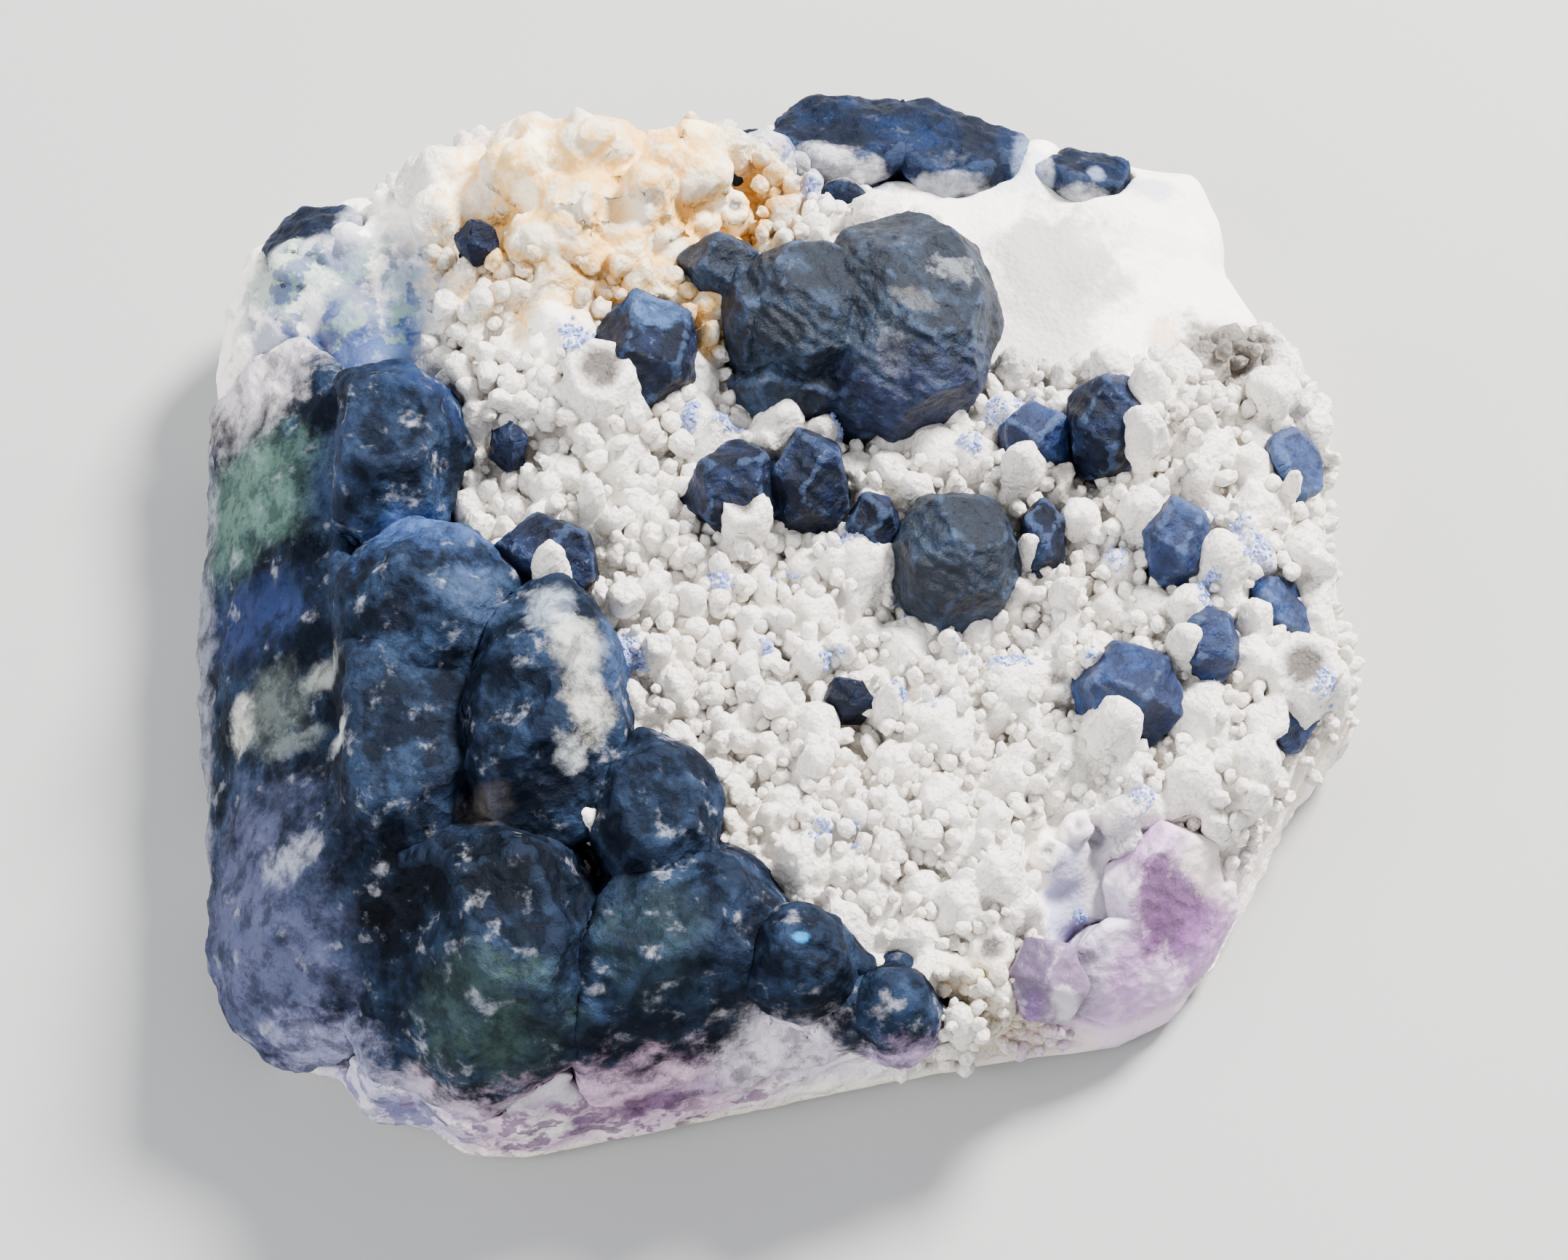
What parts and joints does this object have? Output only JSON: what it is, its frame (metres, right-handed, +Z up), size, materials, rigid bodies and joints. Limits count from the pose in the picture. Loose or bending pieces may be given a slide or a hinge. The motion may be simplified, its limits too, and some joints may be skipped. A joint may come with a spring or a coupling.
{
  "type": "botryoidal fluorite specimen",
  "caption": "Slab of white drusy quartz, sawn flat underneath, with rounded dark blue fluorite crystals and ground sides.",
  "frame": {"origin": "middle of the bounding box, on the sawn base", "axes": "+Z up out of the crystal face, +Y to the back rim, +X to the right of the picture"},
  "size_m": [0.0674, 0.0646, 0.0216],
  "materials": {
    "white_quartz": "matt, chalky white quartz crust",
    "blue_fluorite": "satin, etched dark blue fluorite",
    "purple_fluorite": "satin, purple fluorite"
  },
  "bodies": {
    "root": {"fluorite_back_rim": "blue_fluorite", "fluorite_centre_pair": "blue_fluorite", "fluorite_corner_back_left": "blue_fluorite", "fluorite_crescent": "blue_fluorite", "fluorite_crown": "blue_fluorite", "fluorite_dark_east": "blue_fluorite", "fluorite_east": "blue_fluorite", "fluorite_east_far_neighbour": "blue_fluorite", "fluorite_east_hook": "blue_fluorite", "fluorite_east_west_neighbour": "blue_fluorite", "fluorite_hook": "blue_fluorite", "fluorite_left_mass": "blue_fluorite", "fluorite_north_west": "blue_fluorite", "fluorite_purple_corner": "purple_fluorite", "fluorite_rim_back_left": "blue_fluorite", "fluorite_rim_back_right": "blue_fluorite", "fluorite_rim_east": "blue_fluorite", "fluorite_rim_east_low": "blue_fluorite", "fluorite_rim_south_east": "blue_fluorite", "fluorite_ring": "blue_fluorite", "fluorite_south": "blue_fluorite", "fluorite_south_east": "blue_fluorite", "fluorite_tablet": "blue_fluorite", "fluorite_violet": "purple_fluorite", "fluorite_wedge": "blue_fluorite", "quartz_matrix": "white_quartz"}
  },
  "joints": []
}
